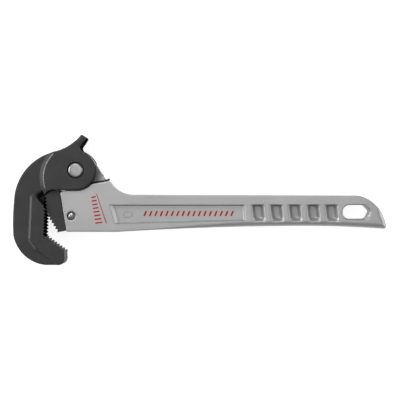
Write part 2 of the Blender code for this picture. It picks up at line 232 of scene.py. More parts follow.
class Shell:
    """Collects the faces of one closed surface."""

    def __init__(self):
        self.points, self.faces, self.spans, self.total = [], [], [], 0

    def add(self, points, faces):
        """Add points and faces and give the index of the first new point."""
        first = self.total
        self.points.append(np.asarray(points, float))
        self.faces += (np.asarray(faces) + first).tolist() if len(faces) else []
        self.total += len(points)
        return first

    def sheet(self, flat, triangles, height, upwards):
        """Add a face whose height is a function of X and Y."""
        points = np.column_stack([flat, height])
        return self.add(points, triangles if upwards else triangles[:, ::-1])

    def wall(self, upper, lower, closed=True, kind=1):
        """Join two equally long rows of point numbers with a strip of quads; kind picks their finish."""
        count = len(upper)
        i = np.arange(count if closed else count - 1)
        j = (i + 1) % count
        upper, lower = np.asarray(upper), np.asarray(lower)
        self.spans.append((len(self.faces), len(self.faces) + len(i), kind))
        self.faces += np.stack([upper[i], lower[i], lower[j], upper[j]], 1).tolist()

    def quad(self, corners):
        """Add one wall face between four points."""
        self.spans.append((len(self.faces), len(self.faces) + 1, 1))
        self.faces.append(corners)

    def finish(self, name, finish, body, replaced=(), slot=None, sharp=38.0, side_finishes=()):
        """Turn the surface into an object that rides on a body; its walls may have finishes of their own."""
        points = np.concatenate(self.points)
        points[:, 2] += MIDDLE
        mesh = bpy.data.meshes.new(name)
        mesh.from_pydata((points * MM).tolist(), [], self.faces)
        mesh.materials.append(finish)
        if side_finishes:
            kinds = np.zeros(len(self.faces), int)
            for first, last, kind in self.spans:
                kinds[first:last] = kind
            for side_finish in side_finishes:
                mesh.materials.append(side_finish)
            mesh.polygons.foreach_set("material_index", kinds)
        as_piece(mesh, name, body, replaced, sharp)


def as_piece(mesh, name, body, replaced, sharp):
    """Link a finished mesh, weld its seams, shade it and say what it rides on and stands for."""
    bm = bmesh.new()
    bm.from_mesh(mesh)
    bmesh.ops.remove_doubles(bm, verts=bm.verts, dist=2e-6)
    bmesh.ops.dissolve_degenerate(bm, edges=bm.edges, dist=1e-6)
    bmesh.ops.recalc_face_normals(bm, faces=bm.faces)
    bm.to_mesh(mesh)
    bm.free()
    mesh.shade_smooth()
    mesh.set_sharp_from_angle(angle=math.radians(sharp))
    piece = bpy.data.objects.new(name, mesh)
    bpy.context.scene.collection.objects.link(piece)
    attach(piece, body)
    if replaced:
        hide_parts(*replaced)


def rounded(distance, radius, half):
    """Height of a plate near its rim: a quarter circle of that radius rising from the rim to the flat."""
    reach = np.clip(1.0 - distance / radius, 0.0, 1.0)
    return half - radius * (1.0 - np.sqrt(np.maximum(0.0, 1.0 - reach ** 2)))


def soft_step(share):
    """Zero to one with level ends and a steep middle."""
    share = np.clip(share, 0.0, 1.0)
    return share * share * (3.0 - 2.0 * share)


def lipped(share):
    """Wall profile: a gentle lip over the first fifth, then a steep wall that eases into the floor."""
    lip = 0.1 * np.clip(share / 0.2, 0.0, 1.0)
    wall = 0.45 * soft_step((share - 0.12) / 0.85) + 0.45 * np.clip((share - 0.2) / 0.7, 0.0, 1.0)
    return lip + wall


def rim_rings(rim, radius, counts=(14.0, 32.0, 52.0, 72.0, 90.0)):
    """Loops inside a rim where its quarter-circle edge has turned by each of these angles."""
    inward = normals_of(rim)
    radius = np.broadcast_to(radius, len(rim))[:, None]
    return [rim + inward * radius * (1.0 - math.cos(math.radians(angle))) for angle in counts]


# ---------------------------------------------------------------- handle

def handle_rim():
    """Outline of head and grip."""
    shoulder = [polar(PIVOT, 20.3, a) for a in (-62.0, -82.0)]
    loop = trace(
        (-133.4, -31.2), ((-133.1, -31.7), (-132.4, -31.8)), (-83.0, -31.9),
        ((0.0, -28.0), (90.0, -26.1)),
        ((140.0, -26.6), (184.0, -28.9)),
        ((186.6, -28.1), (187.0, -25.6)),
        ((180.6, -10.0), (164.0, 3.0)),
        ((159.0, 4.3), (152.0, 4.6)),
        (-68.0, 5.5),
        ((-82.0, 9.7), (-90.2, 18.0)), ((-90.4, 18.6), (-91.2, 18.6)),
        (-108.7, 16.0),
        (shoulder[0], shoulder[1]),
        (-136.4, 9.5), ((-138.2, 8.6), (-139.5, 6.6)), (-133.5, -31.0))
    return loop[:-1]


def grip_half(x):
    """Half thickness along the handle: thick at the head, easing to the grip."""
    return HEAD_HALF - (HEAD_HALF - GRIP_HALF) * soft_step((x + 96.0) / 52.0)


def handle_radius(x, y):
    """Edge radius: crisp on the head and the upper side, full along the grip's lower side."""
    grip = soft_step((x + 60.0) / 120.0)
    lower = soft_step((-8.0 - y) / 8.0)
    return 1.0 + grip * (0.5 + 3.6 * lower)


class Recess:
    """Sunken four-sided panel with sloping walls; each side has its own wall width."""

    def __init__(self, corners, widths, depth, blunt, lip):
        self.corners = np.array(corners, float)
        self.widths, self.depth, self.blunt, self.lip = np.array(widths, float), depth, blunt, lip
        run = np.roll(self.corners, -1, 0) - self.corners
        run /= np.linalg.norm(run, axis=1)[:, None]
        self.inward = np.stack([-run[:, 1], run[:, 0]], 1)

    def share(self, points):
        """Nought at the rim, one at the floor: softened least of each side's distance over its wall width."""
        gap = ((points[:, None, :] - self.corners) * self.inward).sum(2) / self.widths
        return -np.log(np.exp(-gap * self.blunt).sum(1)) / self.blunt

    def loop(self, level, count):
        """Closed loop at one level, found along rays from the middle by halving."""
        middle = self.corners.mean(0)
        size = np.ptp(self.corners, axis=0)
        even = np.linspace(0.0, math.tau, count, endpoint=False)
        path = np.stack([np.cos(even), np.sin(even)], 1)
        path /= np.abs(path).max(1)[:, None]
        ray = path * size / 2.0 * 1.3
        low, high = np.zeros(count), np.ones(count)
        for _ in range(30):
            half = (low + high) / 2.0
            deeper = self.share(middle + ray * half[:, None]) > level
            low, high = np.where(deeper, half, low), np.where(deeper, high, half)
        return middle + ray * low[:, None]

    def sink(self, points):
        """Depth below the face."""
        share = np.clip(self.share(points), 0.0, 1.0)
        if self.lip:
            return self.depth * lipped(share)
        return self.depth * (0.65 * share + 0.35 * soft_step(share)) * soft_step(share * 6.0)


def recesses():
    """The long panel and the five finger pockets."""
    corners = [(-85.6, -24.4), (46.4, -20.9), (45.0, -4.6), (-90.4, -4.6)]
    panel = Recess(corners, (1.5, 2.6, 1.1, 4.4), PANEL_DEPTH, 9.0, False)
    found = [(panel, 420)]
    for i in range(5):
        left = 51.0 + 18.4 * i
        corners = [(left + 2.2, -22.2), (left + 15.4, -22.0), (left + 13.6, -4.3), (left, -4.3)]
        found.append((Recess(corners, (4.6, 4.0, 1.8, 4.0), POCKET_DEPTH, 4.0, True), 160))
    return found


def slot_rim():
    """Hang slot: round front end, bluntly pointed tail end."""
    low, high = -18.9, -5.1
    middle, radius = (low + high) / 2.0, (high - low) / 2.0
    loop = trace(
        (149.8, low), (164.0, low), ((167.2, -17.5), (169.2, -13.9)), ((170.3, -11.8), (169.9, -10.2)),
        (166.7, -6.7), ((165.2, -5.5), (163.2, high)), (149.8, high),
        ((149.8 - radius, middle), (149.8, low)))
    return loop[:-1]


def slot_lip(points):
    """Width of the hang slot's sloping lip: narrow above and in front, wider below and at the tail end."""
    low = soft_step((-11.0 - points[:, 1]) / 8.0)
    tail = soft_step((points[:, 0] - 163.0) / 9.0)
    return 0.6 + 1.2 * low + 0.4 * tail


def make_handle(finish):
    """Plate whose height is the grip's half thickness, rounded at the rim, less each recess's depth."""
    rim, slot = handle_rim(), slot_rim()
    panels = recesses()
    pin_hole = circle(HEEL_PIN, HEEL_HOLE_RADIUS, 48)
    loops = rim_rings(rim, handle_radius(rim[:, 0], rim[:, 1]))
    for panel, count in panels:
        loops += [panel.loop(level, count) for level in (0.0, 0.13, 0.25, 0.45, 0.65, 0.85, 1.03)]
    lip_way = normals_of(slot) * slot_lip(slot)[:, None]
    slot_edge = [slot - lip_way * share for share in (0.2, 0.4, 0.6, 0.8, 1.0)]
    hole_edge = [circle(HEEL_PIN, HEEL_HOLE_RADIUS + width, 48) for width in (0.25, 0.6)]
    loops += slot_edge + hole_edge
    grid = spread(rim.min(0), rim.max(0), 1.05)
    grid = grid[inside(grid, rim)]
    away = distance_to(grid, rim) > handle_radius(grid[:, 0], grid[:, 1]) + 0.45
    away &= ~inside(grid, slot - normals_of(slot) * (slot_lip(slot)[:, None] + 0.5))
    away &= np.hypot(*(grid - HEEL_PIN).T) > 5.6
    for panel, _ in panels:
        share = panel.share(grid)
        away &= (share < -0.3) | (share > 1.25)
    flat, triangles = triangulate(rim, [slot, pin_hole], loops, grid[away])

    half = grip_half(flat[:, 0])
    height = rounded(distance_to(flat, rim), handle_radius(flat[:, 0], flat[:, 1]), half)
    slot_share = distance_to(flat, slot) / slot_lip(flat)
    height -= (0.3 + 0.85 * slot_lip(flat)) * lipped(np.clip(1.0 - slot_share, 0.0, 1.0))
    pin_gap = distance_to(flat, pin_hole)
    height -= 0.35 * (1.0 - soft_step(pin_gap / 0.6))
    for panel, _ in panels:
        height -= panel.sink(flat)
    shell = Shell()
    front = shell.sheet(flat, triangles, height, True)
    back = shell.sheet(flat, triangles, -height, False)
    for ring in (rim, slot, pin_hole):
        index = nearest(flat, ring)
        shell.wall(front + index, back + index)
    shell.finish("handle_casting", finish, "handle", ["handle"], "cast_aluminium")


def make_ear(finish):
    """Ear that carries the pivot: a thin web, a thicker boss each side and the bushing's bore."""
    start, stop = polar(PIVOT, EAR_RADIUS, 235.0), polar(PIVOT, EAR_RADIUS, 24.0)
    rim = trace(
        (start[0], 5.0), (-94.9, 5.0), (-94.9, 20.4), (-103.5, 34.2), stop,
        (polar(PIVOT, EAR_RADIUS, 130.0), start), (start[0], 5.6))
    bore = circle(PIVOT, 8.3, 72)
    boss = [circle(PIVOT, r, 96) for r in (8.6, 9.0, 12.4, 12.8, 13.1, 13.25, 13.6, 14.2)]
    loops = rim_rings(rim, 1.3) + boss
    grid = spread(rim.min(0), rim.max(0), 1.0)
    reach = np.hypot(*(grid - PIVOT).T)
    keep = inside(grid, rim) & (distance_to(grid, rim) > 1.8)
    keep &= (reach > 14.6) | ((reach > 9.4) & (reach < 12.0))
    flat, triangles = triangulate(rim, [bore], loops, grid[keep])
    reach = np.hypot(*(flat - PIVOT).T)
    height = rounded(distance_to(flat, rim), 1.3, EAR_HALF)
    raised = BOSS_HALF - 0.4 * soft_step((reach - 12.4) / 0.7) - 0.3 * soft_step((9.0 - reach) / 0.6)
    height += (raised - height) * soft_step((13.6 - reach) / 0.5)
    shell = Shell()
    front = shell.sheet(flat, triangles, height, True)
    back = shell.sheet(flat, triangles, -height, False)
    for ring in (rim, bore):
        index = nearest(flat, ring)
        shell.wall(front + index, back + index)
    shell.finish("handle_ear", finish, "handle", (), "cast_aluminium")


# ---------------------------------------------------------------- hook jaw

def hook_parts():
    """Outline of the hook in two runs: the run along the fork, and the solid run round from tab to neck."""
    neck_end = np.array([polar(PIVOT, FORK_RADIUS, 235.0)[0], 9.95])
    fork_run = trace(
        neck_end, (-124.6, 9.95), polar(PIVOT, 19.85, -84.0),
        (polar(PIVOT, 19.75, -10.0), polar(PIVOT, 19.8, 60.0)), step=0.7)
    tab = trace(
        fork_run[-1], (-116.6, 48.5), ((-119.2, 50.4), (-119.7, 53.2)), (-114.3, 61.2),
        ((-114.0, 62.1), (-114.6, 62.9)), (-117.4, 65.0), ((-118.4, 65.2), (-119.4, 64.6)), step=0.6)
    back = trace(
        tab[-1], ((-131.2, 54.2), (-146.0, 48.4)), ((-173.0, 32.4), (-186.3, 0.0)),
        ((-187.3, -18.0), (-187.1, -35.0)), ((-177.6, -53.9), (-155.0, -65.1)), (-141.5, -65.1),
        ((-137.4, -63.5), (-135.4, -58.4)), RAMP_FOOT, step=0.8)
    sloping = teeth(back[-1], RAMP_TOP, -TOOTH_DEPTH)
    upright = teeth(RAMP_TOP, (-156.2, -7.4), -TOOTH_DEPTH)
    neck = trace(
        upright[-1], (-156.0, -4.0), (-155.7, 1.8), ((-152.6, 7.8), (-146.6, 9.9)), neck_end, step=0.6)
    solid = np.concatenate([tab, back[1:], sloping, upright, neck[1:]])
    return fork_run, solid


def signed_side(points, path):
    """Signed distance to an open path: positive on its left."""
    a, b = path[:-1], path[1:]
    side = b - a
    square = (side ** 2).sum(1)
    p = points[:, None, :]
    t = np.clip(((p - a) * side).sum(2) / square, 0.0, 1.0)
    gap = p - a - t[..., None] * side
    far = (gap ** 2).sum(2)
    best = far.argmin(1)
    rows = np.arange(len(points))
    turn = side[best, 0] * (points[:, 1] - a[best, 1]) - side[best, 1] * (points[:, 0] - a[best, 0])
    return np.sign(turn) * np.sqrt(far[rows, best])


def edge_radius(points):
    """The hook's edge radius: nearly sharp along its teeth, fullest on the tab's end."""
    x, y = points.T
    cutting = (x > -161.0) & (y < -6.0) & (y > -53.6) & (x + 0.9 * y > -201.0)
    return np.where(cutting, 0.2, np.where(y > 59.0, 3.0, 1.5))


def offsets(path, distances):
    """Copies of an open path moved to its left."""
    run = np.gradient(path, axis=0)
    run /= np.linalg.norm(run, axis=1)[:, None]
    left = np.stack([-run[:, 1], run[:, 0]], 1)
    return [path + left * distance for distance in distances]


def is_worn_lit(points):
    """True on the hook's sides at the crests of the sloping teeth and round the tip, whose walls get the
    lighter finish: painted light, with wear on the crests.
    """
    x, y = points.T
    deep = (points - RAMP_FOOT) @ (-0.587, -0.809)
    return ((x > -157.4) & (y < -36.8) & (y > -53.0) & (deep < 1.0)) | ((x > -140.0) & (y < -52.8))


def make_hook(finish, side_finishes):
    """Forging: outer faces stepped from cheeks to body to tooth pad, the fork's slot between the cheeks."""
    fork_run, solid = hook_parts()
    rim = np.concatenate([fork_run, solid[1:-1]])
    step_path = trace(
        (-146.4, 60.0), (-146.4, 45.6), ((-155.6, 26.0), (-154.0, 11.4)), (-150.4, 4.0), step=1.0)
    pad_path = trace(
        (-153.0, -10.7), (-164.3, 3.2), (-167.6, 2.9), (-169.4, -38.6), (-164.3, -47.4), (-140.0, -66.0),
        step=1.0)

    along = edge_radius(rim)
    for _ in range(5):
        along = np.minimum(along, (np.roll(along, 1) + np.roll(along, -1)) / 2.0 + 0.15)
    bore = circle(PIVOT, SHANK_RADIUS + 0.3, 72)
    well = [circle(PIVOT, r, 84) for r in (8.15, 8.35, 8.6)]
    turned_by = np.radians((18.0, 40.0, 65.0, 90.0))
    rings = [rim + normals_of(rim) * (along * (1.0 - math.cos(angle)))[:, None] for angle in turned_by]
    scatter = np.concatenate(
        offsets(step_path, (0.0, -0.9, -2.0, -3.2, -STEP_RUN))
        + offsets(pad_path, (0.0, -0.7, -1.7, -PAD_RUN)))
    grid = spread(rim.min(0), rim.max(0), 0.8)
    extra = np.concatenate([scatter, grid])
    step_side = signed_side(extra, step_path)
    pad_side = signed_side(extra, pad_path)
    is_grid = np.arange(len(extra)) >= len(scatter)
    near_step = is_grid & (np.abs(step_side + 2.3) < 2.9)
    near_pad = is_grid & (np.abs(pad_side + 1.2) < 1.7)
    nearest_rim = ((extra[:, None, :] - rim[::3]) ** 2).sum(2).argmin(1) * 3
    clear = distance_to(extra, rim) > along[nearest_rim] + 0.35
    reach = np.hypot(*(extra - PIVOT).T)
    extra = extra[inside(extra, rim) & clear & (reach > 8.9) & ~near_step & ~near_pad]
    flat, triangles = triangulate(rim, [bore], rings + well, extra)

    reach = np.hypot(*(flat - PIVOT).T)
    above_pad = (flat - (-164.3, 3.2)) @ (0.76, 0.65) / 0.8
    below_cheek = (flat - (-166.0, 4.6)) @ (0.57, -0.82) / 5.0
    step_side = signed_side(flat, step_path)
    pad_side = signed_side(flat, pad_path)
    height = np.full(len(flat), BODY_HALF)
    height += (PAD_HALF - BODY_HALF) * np.clip(1.0 + pad_side / PAD_RUN, 0.0, 1.0)
    cheek = np.clip(1.0 + step_side / STEP_RUN, 0.0, 1.0) * (flat[:, 1] > 2.0)
    cheek = 0.75 * cheek + 0.25 * soft_step(cheek)
    height = np.maximum(height, BODY_HALF + (CHEEK_HALF - BODY_HALF) * cheek)
    hollow = soft_step(above_pad) * np.clip(below_cheek, 0.0, 1.0)
    hollow *= (flat[:, 0] < -150.0) & (cheek < 0.02)
    nearest_rim = np.concatenate([
        ((block[:, None, :] - rim) ** 2).sum(2).argmin(1) for block in np.array_split(flat, 12)])
    height = rounded(distance_to(flat, rim), along[nearest_rim], height)
    height -= PIN_WELL_DEPTH * soft_step((PIN_WELL_RADIUS - reach) / 0.25)
    shell = Shell()
    front = shell.sheet(flat, triangles, height - HOLLOW_DEPTH * hollow, True)
    back = shell.sheet(flat, triangles, -height, False)

    far, low = polar(PIVOT, FORK_RADIUS, 150.0), polar(PIVOT, FORK_RADIUS, 235.0)
    crotch = trace(fork_run[-1], polar(PIVOT, FORK_RADIUS, 76.0), (far, low), fork_run[0], step=1.0)
    fork_rim = np.concatenate([fork_run, crotch[1:-1]])
    filling = spread(fork_rim.min(0), fork_rim.max(0), 2.0)
    filling = filling[inside(filling, fork_rim) & (distance_to(filling, fork_rim) > 0.8)]
    filling = filling[np.hypot(*(filling - PIVOT).T) > 8.0]
    gap_flat, gap_triangles = triangulate(fork_rim, [bore], [], filling)
    level = np.full(len(gap_flat), FORK_HALF)
    front_in = shell.sheet(gap_flat, gap_triangles, level, False)
    back_in = shell.sheet(gap_flat, gap_triangles, -level, True)

    outer = nearest(flat, fork_run)
    inner = nearest(gap_flat, fork_run)
    shell.wall(front + outer, front_in + inner, closed=False)
    shell.wall(back_in + inner, back + outer, closed=False)
    rest = nearest(flat, solid)
    # walls take the painted-shade side finish (1), and the lighter painted-light and worn finish (2) at the
    # teeth crests and the tip
    kind = np.where(is_worn_lit((solid[:-1] + solid[1:]) / 2.0), 2, 1)
    shell.wall(front + rest, back + rest, closed=False, kind=kind)
    bend = nearest(gap_flat, np.concatenate([crotch[:-1], fork_run[:1]]))
    shell.wall(front_in + bend, back_in + bend, closed=False)
    for face, inner_face in ((front, front_in), (back, back_in)):
        shell.wall(face + nearest(flat, bore), inner_face + nearest(gap_flat, bore))
    join_ends(shell, (front, back, front_in, back_in), flat, gap_flat, (fork_run[0], fork_run[-1]))
    shell.finish("hook_forging", finish, "hook", ["hook_jaw"], "black_steel", side_finishes=side_finishes)


def join_ends(shell, firsts, flat, gap_flat, ends):
    """Split the solid run's first and last wall quads so that they meet the fork's two inner levels."""
    front, back, front_in, back_in = firsts
    for end in ends:
        outer = int(nearest(flat, end[None])[0])
        inner = int(nearest(gap_flat, end[None])[0])
        shell.quad([front + outer, front_in + inner, back_in + inner, back + outer])


# ---------------------------------------------------------------- heel jaw

def make_heel(finish, side_finishes):
    """Tooth block: a flat plate with nearly sharp edges, its toothed side cut square through."""
    knee, toe = (-154.4, -14.0), (-143.0, -32.4)
    body = trace(
        (-133.8, -30.7), (-140.2, 6.8), (-140.3, 9.2), ((-140.5, 9.6), (-141.0, 9.67)),
        (-146.0, 9.6), ((-152.0, 7.4), (-155.1, 3.0)), step=0.7)
    upper, lower = teeth(body[-1], knee, TOOTH_DEPTH - 0.4), teeth(knee, toe, TOOTH_DEPTH)
    rim = np.concatenate([body, upper, lower, line(toe, body[0], 0.7)[:-1]])
    radius = 0.35
    grid = spread(rim.min(0), rim.max(0), 0.9)
    grid = grid[inside(grid, rim) & (distance_to(grid, rim) > 0.7)]
    flat, triangles = triangulate(rim, [], rim_rings(rim, radius, (35.0, 90.0)), grid)
    height = rounded(distance_to(flat, rim), radius, HEEL_HALF)
    shell = Shell()
    front = shell.sheet(flat, triangles, height, True)
    back = shell.sheet(flat, triangles, -height, False)
    index = nearest(flat, rim)
    shell.wall(front + index, back + index)
    shell.finish("heel_jaw_block", finish, "handle", ["heel_jaw"], "black_steel", side_finishes=side_finishes)


# ---------------------------------------------------------------- pins and spring

def turned(name, centre, profile, finish, body, replaced, slot, sides=96):
    """Surface of revolution: a profile of (radius, height) pairs swept about Z, closed at both ends."""
    profile = np.array(profile, float)
    angle = np.arange(sides) * math.tau / sides
    x = centre[0] + profile[:, 0][:, None] * np.cos(angle)
    y = centre[1] + profile[:, 0][:, None] * np.sin(angle)
    z = np.broadcast_to(profile[:, 1][:, None], x.shape)
    shell = Shell()
    shell.add(np.stack([x, y, z], 2).reshape(-1, 3), [])
    rows = np.arange(len(profile) * sides).reshape(len(profile), sides)
    for upper, lower in zip(rows, rows[1:]):
        shell.wall(upper, lower)
    shell.finish(name, finish, body, replaced, slot)


def make_pivot_pin(finish):
    """Headed pin: ground flat end with a bright chamfer, shank, ring groove and plain tail."""
    top = CHEEK_HALF + 0.2
    profile = [
        (0.0, top), (3.0, top), (PIN_HEAD_RADIUS - 1.3, top), (PIN_HEAD_RADIUS - 1.1, top - 0.06),
        (PIN_HEAD_RADIUS - 0.1, top - 0.75), (PIN_HEAD_RADIUS, top - 0.95), (PIN_HEAD_RADIUS, top - 3.2),
        (SHANK_RADIUS, top - 3.2), (SHANK_RADIUS, -12.9),
        (SHANK_RADIUS - 0.8, -12.9), (SHANK_RADIUS - 0.8, -14.1),
        (SHANK_RADIUS, -14.1), (SHANK_RADIUS, -14.7), (SHANK_RADIUS - 0.5, -15.2), (3.0, -15.2), (0.0, -15.2)]
    turned("pivot_pin_turned", PIVOT, profile, finish, "hook", ["pivot_pin"], "bright_steel")


def make_heel_pin(finish):
    """Pin with a polished dome at each end: its height falls with the 1.6th power of the radius."""
    reach = np.array([0.0, 0.7, 1.4, 2.1, 2.8, 3.4, 3.9, 4.15, 4.25])
    rise = -0.2 * reach ** 1.6
    rise[-2:] *= (1.1, 1.4)
    upper = np.stack([reach, HEAD_HALF + rise], 1)
    lower = upper[::-1] * (1.0, -1.0)
    profile = np.concatenate([upper, lower])
    turned("heel_pin_turned", HEEL_PIN, profile, finish, "handle", ["heel_jaw_pin"], "bright_steel", 64)


def tube(name, route, radius, finish, body, replaced, slot, sides=14):
    """Round wire: a circle carried along a route on frames turned as little as possible, with domed ends."""
    route = np.asarray(route, float)
    run = np.gradient(route, axis=0)
    run /= np.linalg.norm(run, axis=1)[:, None]
    side = np.cross(run, (0.0, 0.0, 1.0))
    flatness = np.linalg.norm(side, axis=1)[:, None]
    side = np.where(flatness > 0.2, side / np.maximum(flatness, 1e-6), (1.0, 0.0, 0.0))
    side -= (side * run).sum(1)[:, None] * run
    side /= np.linalg.norm(side, axis=1)[:, None]
    up = np.cross(side, run)
    angle = np.arange(sides) * math.tau / sides
    ring = side[:, None] * np.cos(angle)[:, None] + up[:, None] * np.sin(angle)[:, None]
    points = route[:, None] + radius * ring
    caps = []
    for end, way in ((0, -1.0), (-1, 1.0)):
        dome = [route[end] + way * run[end] * radius * lift + ring[end] * radius * width
                for lift, width in ((0.35, 0.92), (0.6, 0.7), (0.75, 0.001))]
        caps.append(dome)
    points = np.concatenate([np.array(caps[0][::-1]), points, np.array(caps[1])])
    shell = Shell()
    shell.add(points.reshape(-1, 3), [])
    rows = np.arange(points.shape[0] * sides).reshape(-1, sides)
    for upper, lower in zip(rows, rows[1:]):
        shell.wall(upper, lower)
    shell.finish(name, finish, body, replaced, slot, 60.0)


def smooth_route(points, per_span):
    """Catmull-Rom curve through points: each span is a cubic whose end slopes follow its neighbours."""
    points = np.asarray(points, float)
    padded = np.concatenate([2 * points[:1] - points[1:2], points, 2 * points[-1:] - points[-2:-1]])
    t = np.linspace(0.0, 1.0, per_span, endpoint=False)[None, :, None]
    a, b, c, d = (padded[i:len(padded) - 3 + i][:, None, :] for i in range(4))
    bend, twist = 2 * a - 5 * b + 4 * c - d, 3 * b - a - 3 * c + d
    curve = 0.5 * (2 * b + (c - a) * t + bend * t ** 2 + twist * t ** 3)
    return np.concatenate([curve.reshape(-1, 3), points[-1:]])


def make_spring(finish):
    """Two coils and their legs, joined behind the ear, with each hook end a piece that follows the hook."""
    start, stop = math.radians(70.0), math.radians(630.0) + LEG_SLOPE
    share = np.linspace(0.0, 1.0, 150)
    angle = start + (stop - start) * share
    coil = np.stack([
        PIVOT[0] + COIL_RADIUS * np.cos(angle), PIVOT[1] + COIL_RADIUS * np.sin(angle),
        COIL_HIGH + (COIL_LOW - COIL_HIGH) * share], 1)
    root = coil[-1]
    slope = math.tan(LEG_SLOPE)
    leg = [(x, root[1] + (x - root[0]) * slope, COIL_LOW) for x in (-118.0, -112.0, -105.0, -98.0, -94.4)]
    last = leg[-1][1]
    leg += [
        (-92.6, last + 0.75, COIL_LOW - 0.6), (-91.9, last + 1.3, COIL_LOW - 1.9),
        (-91.8, last + 1.4, COIL_LOW - 3.2), (-91.8, last + 1.4, 0.0)]
    bridge = smooth_route(np.concatenate([root[None], leg]), 6)
    half = np.concatenate([coil[:-1], bridge])
    other = half[::-1][1:] * (1.0, 1.0, -1.0)
    route = np.concatenate([half, other])
    tube("spring_coils", route, WIRE_RADIUS, finish, "handle", ["torsion_spring"], "spring_steel")
    for side, label in ((1.0, "front"), (-1.0, "back")):
        ends = []
        for radius, turn in ((23.0, 0.0), (20.0, 0.0), (17.4, 3.0), (15.6, 9.0), (14.6, 17.0), (14.5, 27.0)):
            ends.append((*polar(PIVOT, radius, math.degrees(SPRING_END) + turn), side * COIL_HIGH))
        tube("spring_end_" + label, smooth_route(ends, 6), WIRE_RADIUS, finish, "hook", (), "spring_steel")


# ---------------------------------------------------------------- marks

def patch(name, corners, height, finish):
    """Thin printed bar lying on a face: a four-sided outline with blunted corners, raised by the ink."""
    corners = np.array(corners, float)
    smooth = []
    for i in range(len(corners)):
        before, here, after = corners[i - 1], corners[i], corners[(i + 1) % len(corners)]
        cut = 0.22
        a = here + (before - here) / np.linalg.norm(before - here) * cut
        b = here + (after - here) / np.linalg.norm(after - here) * cut
        middle = (a + b) / 4.0 + here / 2.0
        smooth += [a, middle, b]
    rim = np.array(smooth)
    flat, triangles = triangulate(rim, [], [], np.empty((0, 2)))
    base = height(flat)
    shell = Shell()
    top = shell.sheet(flat, triangles, base + INK_THICKNESS, True)
    bottom = shell.sheet(flat, triangles, base - INK_THICKNESS, False)
    index = nearest(flat, rim)
    shell.wall(top + index, bottom + index)
    shell.finish(name, finish, "handle", (), "cast_aluminium")


def make_marks(finish):
    """Plain red marks: short dashes beside a long tapered bar on the head, and a hatched row in the panel."""

    def face(points):
        return np.full(len(points), HEAD_HALF)

    def floor(points):
        return grip_half(points[:, 0]) - PANEL_DEPTH

    for i in range(8):
        share = i / 7.0
        low, left, width = -23.8 + 3.65 * i, -104.6 - 4.0 * share, 7.2 - 2.8 * share
        corners = [(left, low), (left + width, low + 0.9), (left + width, low + 2.3), (left, low + 1.4)]
        patch(f"head_dash_{i}", corners, face, finish)
    corners = [(-93.9, -23.6), (-92.9, -23.6), (-103.2, 6.3), (-103.8, 6.3)]
    patch("head_bar", corners, face, finish)
    for i in range(17):
        left = -57.0 + 5.45 * i
        corners = [(left, -16.2), (left + 1.9, -16.2), (left + 4.0, -11.0), (left + 2.1, -11.0)]
        patch(f"panel_mark_{i}", corners, floor, finish)


def make_cast_mark(finish):
    """Raised oval ring cast in the panel's floor: a half-round bead carried round an ellipse."""
    count = 72
    angle = np.arange(count) * math.tau / count
    centre = np.array([-72.4, -14.6])
    way = np.stack([4.2 * np.cos(angle) + 0.8 * np.sin(angle), 2.9 * np.sin(angle)], 1)
    out = way / np.linalg.norm(way, axis=1)[:, None]
    shell = Shell()
    rows = []
    for across, rise in ((-0.55, -0.3), (-0.5, 0.0), (-0.25, 0.32), (0.25, 0.32), (0.5, 0.0), (0.55, -0.3)):
        ring = centre + way + out * across
        height = grip_half(ring[:, 0]) - PANEL_DEPTH + rise
        rows.append(shell.add(np.column_stack([ring, height]), []) + np.arange(count))
    for upper, lower in zip(rows, rows[1:] + rows[:1]):
        shell.wall(upper, lower)
    shell.finish("cast_ring_mark", finish, "handle", (), "cast_aluminium")


# ---------------------------------------------------------------- finishes

def new_finish(name, colour, rough, metal):
    """Node material with its shader, and Object coordinates to build on."""
    mat = bpy.data.materials.new(name)
    mat.use_nodes = True
    nodes, links = mat.node_tree.nodes, mat.node_tree.links
    shader = nodes["Principled BSDF"]
    shader.inputs["Base Color"].default_value = (*colour, 1.0)
    shader.inputs["Roughness"].default_value = rough
    shader.inputs["Metallic"].default_value = metal
    place = nodes.new("ShaderNodeTexCoord").outputs["Object"]
    return mat, nodes, links, shader, place


def noise(nodes, links, place, scale, detail=4.0, rough=0.55):
    """Noise texture on the given coordinates."""
    node = nodes.new("ShaderNodeTexNoise")
    node.inputs["Scale"].default_value = scale
    node.inputs["Detail"].default_value = detail
    node.inputs["Roughness"].default_value = rough
    links.new(place, node.inputs["Vector"])
    return node.outputs["Fac"]


def ramp(nodes, links, source, stops):
    """Colour ramp between (place, grey or colour) stops."""
    node = nodes.new("ShaderNodeValToRGB")
    bar = node.color_ramp
    while len(bar.elements) < len(stops):
        bar.elements.new(0.5)
    for element, (spot, colour) in zip(bar.elements, stops):
        element.position = spot
        element.color = (*colour, 1.0) if np.ndim(colour) else (colour, colour, colour, 1.0)
    links.new(source, node.inputs["Fac"])
    return node.outputs["Color"]


def bump(nodes, links, shader, source, depth, strength):
    """Surface relief from a height."""
    node = nodes.new("ShaderNodeBump")
    node.inputs["Distance"].default_value = depth
    node.inputs["Strength"].default_value = strength
    links.new(source, node.inputs["Height"])
    links.new(node.outputs["Normal"], shader.inputs["Normal"])


def band(nodes, links, source, middle, inner, outer):
    """One within inner of a middle value, easing to nought at outer; lengths in millimetres."""
    offset = nodes.new("ShaderNodeMath")
    offset.operation = "SUBTRACT"
    links.new(source, offset.inputs[0])
    offset.inputs[1].default_value = middle * MM
    size = nodes.new("ShaderNodeMath")
    size.operation = "ABSOLUTE"
    links.new(offset.outputs[0], size.inputs[0])
    return fade(nodes, links, size.outputs[0], inner, outer)


def axis_band(nodes, links, place, axis, middle, inner, outer):
    """Band about a middle value along one axis."""
    split = nodes.new("ShaderNodeSeparateXYZ")
    links.new(place, split.inputs[0])
    return band(nodes, links, split.outputs[axis], middle, inner, outer)


